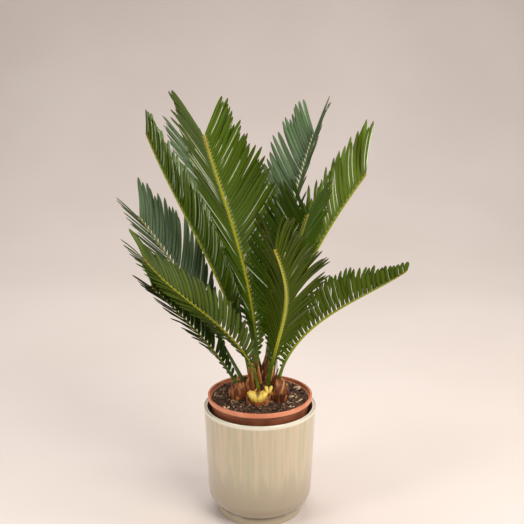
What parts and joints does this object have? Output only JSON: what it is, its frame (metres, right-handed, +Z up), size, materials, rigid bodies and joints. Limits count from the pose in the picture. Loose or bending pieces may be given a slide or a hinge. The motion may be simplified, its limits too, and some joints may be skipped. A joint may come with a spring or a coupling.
{
  "type": "potted sago palm",
  "caption": "Young sago palm with stiff feather-shaped fronds rising from a scaly stem base, in a terracotta-coloured plastic nursery pot standing inside a round glazed ceramic cover pot.",
  "frame": {"origin": "centre of the cover pot's foot, on the surface it stands on", "axes": "+Z up along the pots' axis, -Y towards the picture's camera, +X to its right"},
  "size_m": [0.3156, 0.3978, 0.5138],
  "materials": {
    "cover_pot": "gloss glaze, greige",
    "nursery_pot": "satin terracotta-coloured plastic",
    "soil": "rough damp potting soil with wood chips",
    "stem_base": "papery red-brown scales",
    "fronds": "semi-gloss leathery green"
  },
  "bodies": {
    "root": {"cover_pot": "cover_pot", "nursery_pot": "nursery_pot", "soil": "soil", "stem_base": "stem_base", "frond_01": "fronds", "frond_02": "fronds", "frond_03": "fronds", "frond_04": "fronds", "frond_05": "fronds", "frond_06": "fronds", "frond_07": "fronds", "frond_08": "fronds", "frond_09": "fronds", "frond_10": "fronds", "frond_11": "fronds"}
  },
  "joints": []
}
